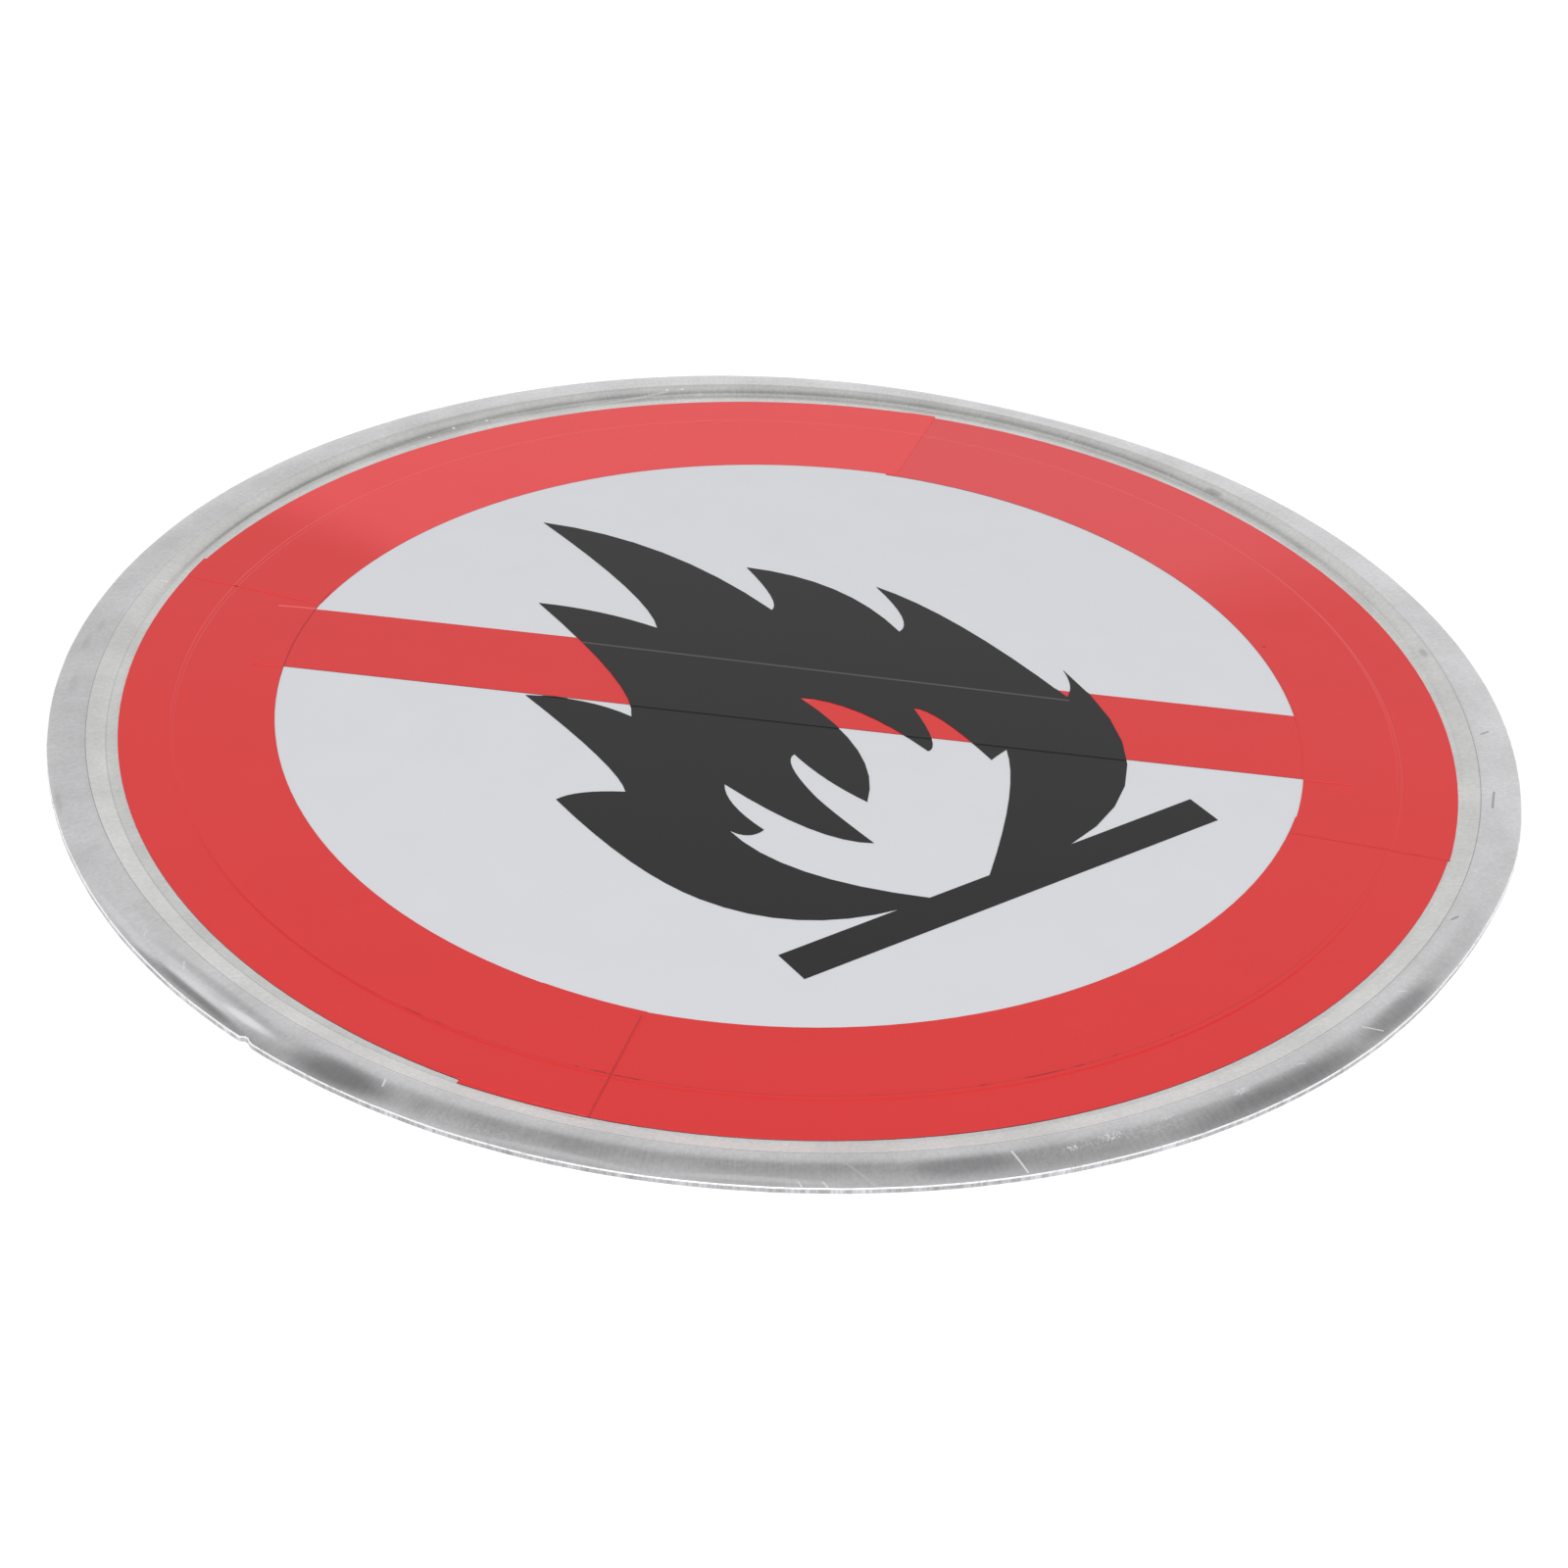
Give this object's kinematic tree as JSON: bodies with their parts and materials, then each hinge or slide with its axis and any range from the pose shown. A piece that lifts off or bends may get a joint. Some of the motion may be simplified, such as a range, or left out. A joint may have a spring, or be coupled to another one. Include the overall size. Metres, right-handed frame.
{
  "type": "round fire safety sign",
  "caption": "Round aluminium prohibition sign with a pressed rim bead, a white field, a red ring and diagonal bar, and a black flame symbol.",
  "frame": {"origin": "centre of the plate's flat back, on the surface that the sign lies on", "axes": "+Z out of the sign's face, +Y towards the top of the symbol, +X to the right as the face is read"},
  "size_m": [0.5999, 0.6, 0.0045],
  "materials": {
    "aluminium": "bare, lightly worn",
    "white_sheeting": "satin reflective sheeting",
    "red_film": "satin transparent film",
    "black_film": "satin film"
  },
  "bodies": {
    "root": {"sign_plate": "aluminium", "white_sheet": "white_sheeting", "cross_bar": "red_film", "flame_symbol": "black_film", "ring_lower": "red_film", "ring_right": "red_film", "ring_upper": "red_film", "ring_left": "red_film"}
  },
  "joints": []
}
